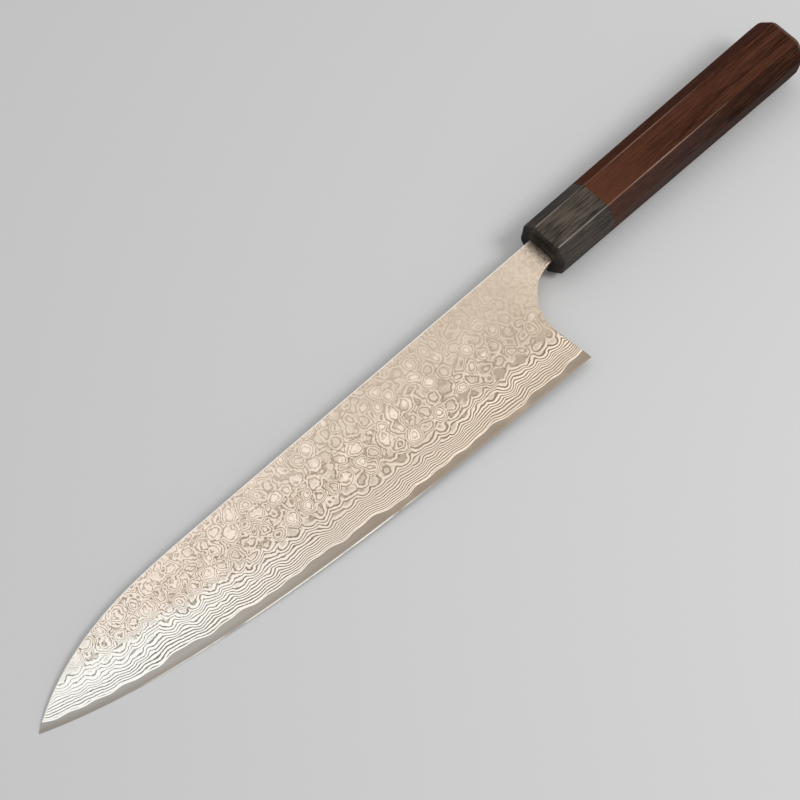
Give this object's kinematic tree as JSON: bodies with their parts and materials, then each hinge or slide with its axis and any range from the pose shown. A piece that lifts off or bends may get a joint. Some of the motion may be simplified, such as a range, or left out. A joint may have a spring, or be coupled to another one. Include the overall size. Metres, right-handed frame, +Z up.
{
  "type": "gyuto knife",
  "caption": "Chef's knife with a laminated patterned double-bevel blade, a hidden stick tang and an octagonal wooden handle with a dark ferrule.",
  "frame": {"origin": "on the table, under the middle of the box of the knife as it lies on its right side", "axes": "+X along the handle towards the butt, +Y from the cutting edge towards the spine, +Z up out of the blade's left face; the knife tips 2 degrees nose down and 6 degrees towards its edge, because it lies on the ferrule's lower corner and on the bevel near the tip"},
  "size_m": [0.402, 0.056, 0.0251],
  "materials": {
    "core_steel": "satin ground core steel along the edge",
    "cladding": "etched layered steel with raindrop rings and wavy lines",
    "ferrule_wood": "satin dark grey-brown laminated wood",
    "handle_wood": "oiled dark red-brown rosewood",
    "dowel_wood": "plain pale hardwood",
    "bedding_resin": "dark cured resin"
  },
  "bodies": {
    "root": {"core_steel": "core_steel", "left_cladding": "cladding", "right_cladding": "cladding", "ferrule": "ferrule_wood", "handle_body": "handle_wood", "dowel": "dowel_wood", "tang_bedding": "bedding_resin"}
  },
  "joints": []
}
